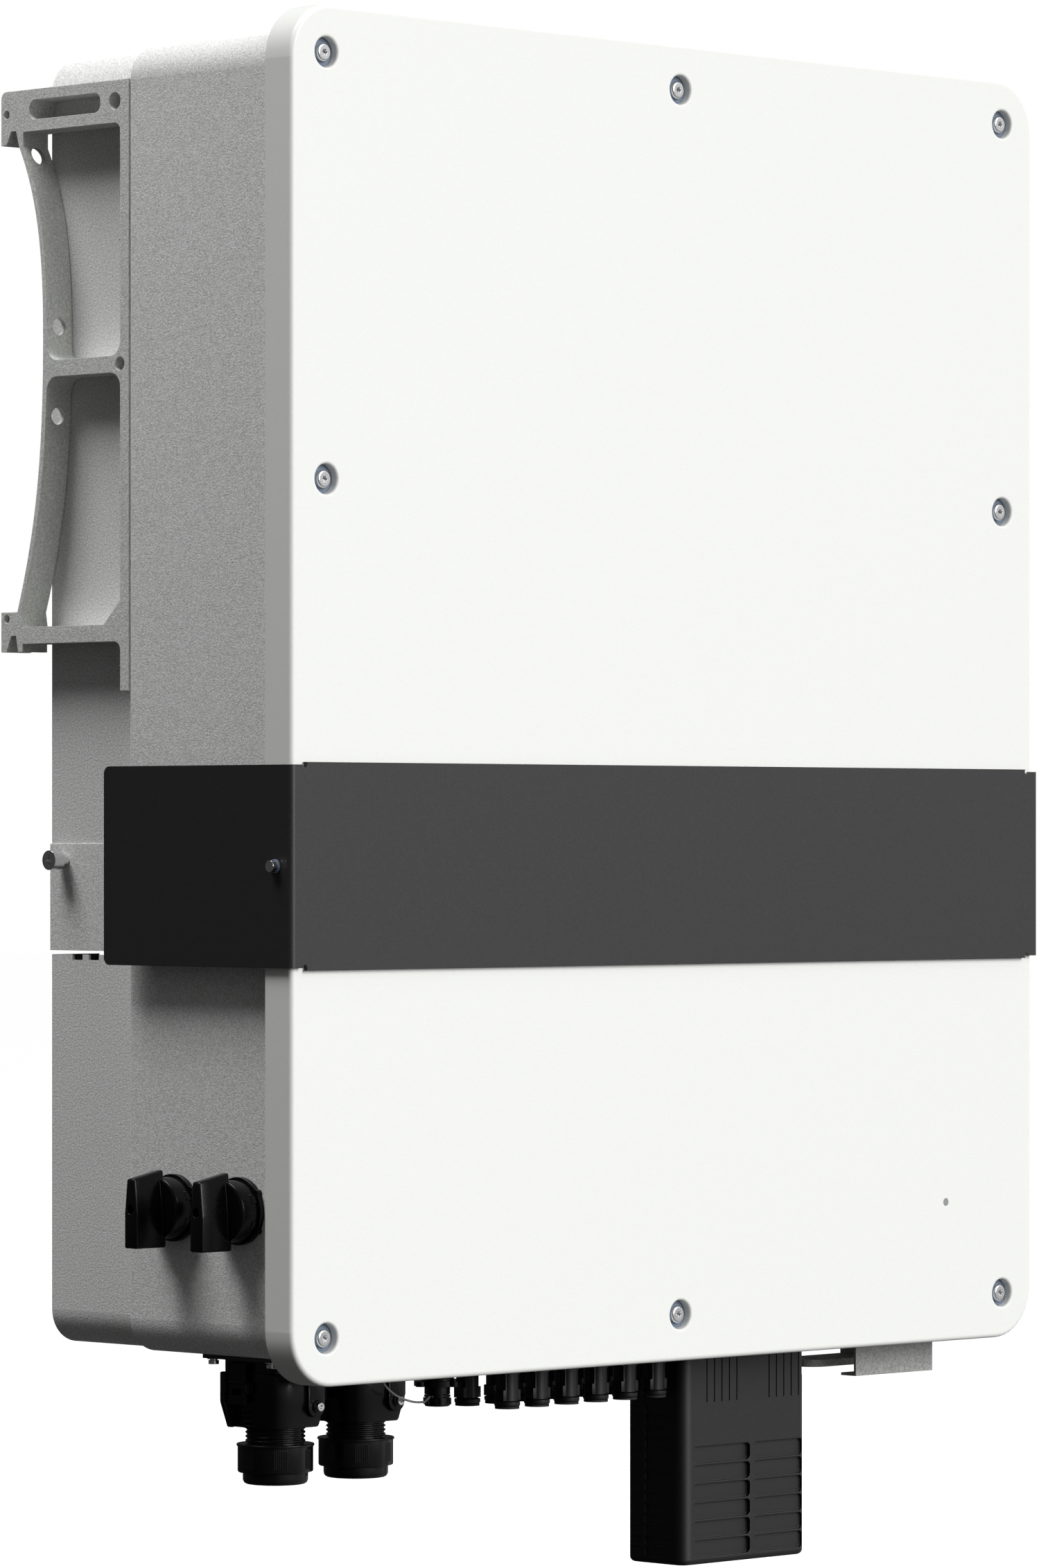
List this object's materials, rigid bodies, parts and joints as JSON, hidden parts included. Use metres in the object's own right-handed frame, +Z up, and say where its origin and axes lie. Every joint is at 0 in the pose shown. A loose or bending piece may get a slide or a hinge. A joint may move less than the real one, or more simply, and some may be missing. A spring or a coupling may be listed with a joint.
{
  "type": "string inverter",
  "caption": "Wall-hung string inverter: shallow off-white cover with a dark wrap-round band, hanger brackets, side rotary switches and connectors on the underside.",
  "frame": {"origin": "on the wall plane, at the width centre, on the line where the upper hooks of the hanger brackets sit on the wall rail", "axes": "+X to the right seen from the front, +Y towards the wall, so the front cover faces -Y, +Z up"},
  "size_m": [0.6038, 0.2413, 0.8268],
  "materials": {
    "cover_paint": "satin off-white powder coat",
    "housing_paint": "fine-textured light powder coat",
    "bracket_paint": "fine-textured light powder coat on an extruded profile",
    "band_black": "satin black powder coat",
    "screw_steel": "bright stainless",
    "zinc_steel": "zinc plated",
    "washer_grey": "blue-grey sealing washer",
    "status_lens": "smoked light pipe",
    "seal_rubber": "black moulded rubber",
    "black_plastic": "moulded black",
    "switch_plastic": "fine-grained moulded black",
    "grey_plastic": "moulded grey",
    "connector_plastic": "smooth glass-filled nylon",
    "pv_plastic": "smooth moulded black",
    "battery_plastic": "fine-grained moulded black",
    "tether_plastic": "soft nylon",
    "contact_metal": "tin plated",
    "sink_aluminium": "mill finish",
    "fan_plastic": "moulded black",
    "bush_brass": "turned",
    "foot_paint": "fine-textured grey powder coat",
    "board_green": "solder mask",
    "potting_grey": "potted case",
    "capacitor_sleeve": "sleeved can"
  },
  "bodies": {
    "root": {"front_cover": "cover_paint", "cover_screws": "screw_steel", "seal_washers": "washer_grey", "status_light": "status_lens", "cover_seal": "seal_rubber", "trim_band": "band_black", "band_screws": "screw_steel", "band_spacers": "black_plastic", "main_housing": "housing_paint", "bracket_left": "bracket_paint", "bracket_right": "bracket_paint", "bracket_bolts": "zinc_steel", "upper_duct_cover": "housing_paint", "duct_strap": "housing_paint", "lower_duct_cover": "housing_paint", "thumb_screws": "screw_steel", "heat_sink": "sink_aluminium", "fan_tray": "housing_paint", "fan_frames": "fan_plastic", "fan_bushes": "bush_brass", "switch_bases": "switch_plastic", "switch_boxes": "grey_plastic", "port_plate": "band_black", "ac_receptacles": "connector_plastic", "ac_contacts": "contact_metal", "grid_plug_shell": "connector_plastic", "backup_plug_shell": "connector_plastic", "gland_seals": "seal_rubber", "plug_screws": "screw_steel", "bottom_screws": "screw_steel", "com_port": "connector_plastic", "com_tether": "tether_plastic", "tether_fittings": "connector_plastic", "pv_sockets_front": "pv_plastic", "pv_sockets_rear": "pv_plastic", "pv_nuts": "grey_plastic", "pv_contacts": "contact_metal", "pv_dust_plugs": "seal_rubber", "battery_cover": "battery_plastic", "battery_grommets": "seal_rubber", "battery_terminals": "contact_metal", "foot_channel": "foot_paint", "lock_tongue": "foot_paint", "power_board": "board_green", "control_board": "board_green", "board_posts": "bush_brass", "chokes": "potting_grey", "capacitors": "capacitor_sleeve"},
    "switch_1": {"switch_knob_1": "switch_plastic", "switch_shaft_1": "zinc_steel"},
    "switch_2": {"switch_knob_2": "switch_plastic", "switch_shaft_2": "zinc_steel"},
    "fan_1": {"fan_rotor_1": "fan_plastic"},
    "fan_2": {"fan_rotor_2": "fan_plastic"},
    "fan_3": {"fan_rotor_3": "fan_plastic"},
    "grid_latch": {"grid_plug_latch": "connector_plastic"},
    "backup_latch": {"backup_plug_latch": "connector_plastic"},
    "grid_nut": {"grid_gland_nut": "connector_plastic"},
    "backup_nut": {"backup_gland_nut": "connector_plastic"},
    "com_cap": {"com_cap": "connector_plastic"}
  },
  "joints": [
    {"name": "switch_1_turn", "type": "hinge", "parent": "root", "child": "switch_1", "pos_m": [-0.2765, -0.138, -0.5701], "axis": [-1, 0, 0], "range_deg": [0, 90]},
    {"name": "switch_2_turn", "type": "hinge", "parent": "root", "child": "switch_2", "pos_m": [-0.2765, -0.1881, -0.5701], "axis": [-1, 0, 0], "range_deg": [0, 90]},
    {"name": "fan_1_spin", "type": "hinge", "parent": "root", "child": "fan_1", "pos_m": [-0.15, -0.0613, -0.6012], "axis": [0, 0, 1], "continuous": true},
    {"name": "fan_2_spin", "type": "hinge", "parent": "root", "child": "fan_2", "pos_m": [0, -0.0613, -0.6012], "axis": [0, 0, 1], "continuous": true},
    {"name": "fan_3_spin", "type": "hinge", "parent": "root", "child": "fan_3", "pos_m": [0.15, -0.0613, -0.6012], "axis": [0, 0, 1], "continuous": true},
    {"name": "grid_latch_press", "type": "hinge", "parent": "root", "child": "grid_latch", "pos_m": [-0.2543, -0.1613, -0.6612], "axis": [0, -1, 0], "range_deg": [0, 6], "stiffness_Nm_per_rad": 0.4},
    {"name": "grid_nut_turn", "type": "hinge", "parent": "root", "child": "grid_nut", "pos_m": [-0.232, -0.1666, -0.7097], "axis": [0, 0, 1], "continuous": true},
    {"name": "backup_latch_press", "type": "hinge", "parent": "root", "child": "backup_latch", "pos_m": [-0.196, -0.1613, -0.6612], "axis": [0, -1, 0], "range_deg": [0, 6], "stiffness_Nm_per_rad": 0.4},
    {"name": "backup_nut_turn", "type": "hinge", "parent": "root", "child": "backup_nut", "pos_m": [-0.1737, -0.1666, -0.7097], "axis": [0, 0, 1], "continuous": true},
    {"name": "com_cap_turn", "type": "hinge", "parent": "root", "child": "com_cap", "pos_m": [-0.1133, -0.1666, -0.6672], "axis": [0, 0, 1], "range_deg": [0, 60]}
  ]
}
